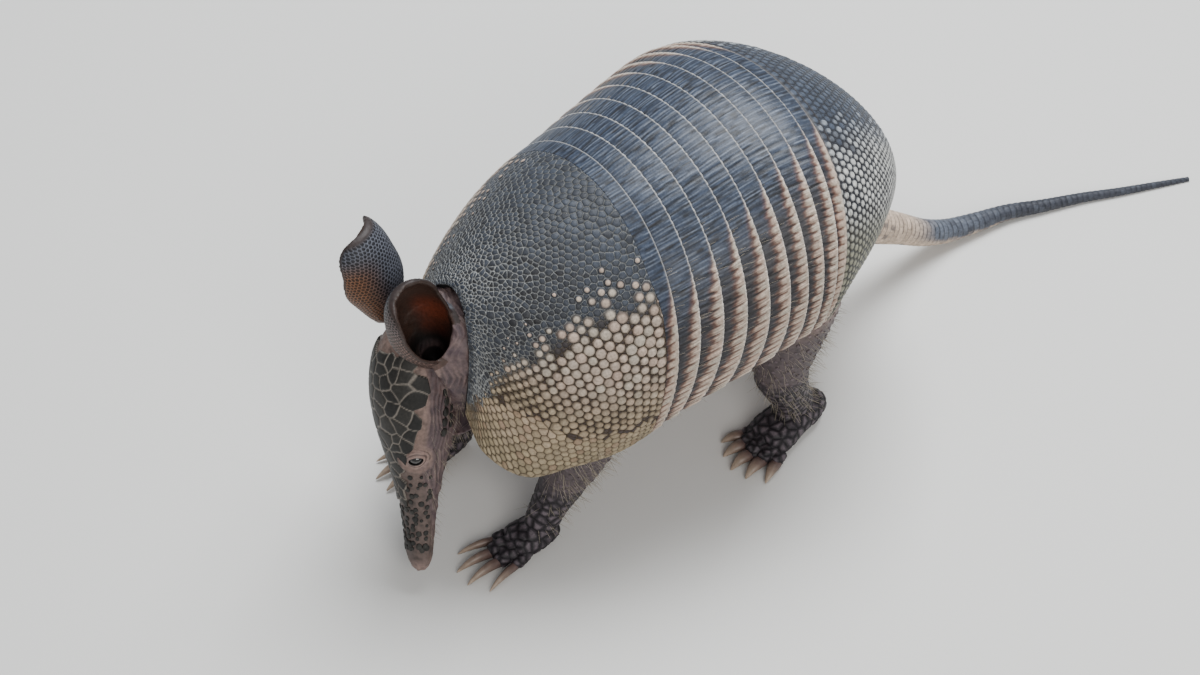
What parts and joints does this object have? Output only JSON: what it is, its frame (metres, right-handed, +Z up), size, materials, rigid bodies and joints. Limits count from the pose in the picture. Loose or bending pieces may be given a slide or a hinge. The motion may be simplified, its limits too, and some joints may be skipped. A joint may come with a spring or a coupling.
{
  "type": "armadillo model",
  "caption": "Life-size still model of a nine-banded armadillo foraging with its snout near the ground, tail laid on the floor.",
  "frame": {"origin": "on the floor, under the middle of the part's bounding box", "axes": "+Y from head to tail, +X toward the animal's left side, +Z up"},
  "size_m": [0.1436, 0.42, 0.1614],
  "materials": {
    "armour": "horny plates, satin",
    "skin": "bare wrinkled skin, matte",
    "claw": "horn, satin",
    "eye": "wet, glossy"
  },
  "bodies": {
    "root": {"shoulder_shield": "armour", "band_1": "armour", "band_2": "armour", "band_3": "armour", "band_4": "armour", "band_5": "armour", "band_6": "armour", "band_7": "armour", "band_8": "armour", "pelvic_shield": "armour", "head": "skin", "head_shield": "armour", "eye_left": "eye", "eye_right": "eye", "ear_left": "skin", "ear_right": "skin", "trunk": "skin", "neck": "skin", "hind_leg_left": "skin", "fore_leg_left": "skin", "hind_foot_left": "skin", "fore_foot_left": "skin", "hind_claw_left_1": "claw", "hind_claw_left_2": "claw", "hind_claw_left_3": "claw", "hind_claw_left_4": "claw", "hind_claw_left_5": "claw", "fore_claw_left_1": "claw", "fore_claw_left_2": "claw", "fore_claw_left_3": "claw", "fore_claw_left_4": "claw", "hind_leg_right": "skin", "fore_leg_right": "skin", "hind_foot_right": "skin", "fore_foot_right": "skin", "hind_claw_right_1": "claw", "hind_claw_right_2": "claw", "hind_claw_right_3": "claw", "hind_claw_right_4": "claw", "hind_claw_right_5": "claw", "fore_claw_right_1": "claw", "fore_claw_right_2": "claw", "fore_claw_right_3": "claw", "fore_claw_right_4": "claw", "tail_1": "skin", "tail_2": "skin", "tail_3": "skin", "tail_4": "skin"}
  },
  "joints": []
}
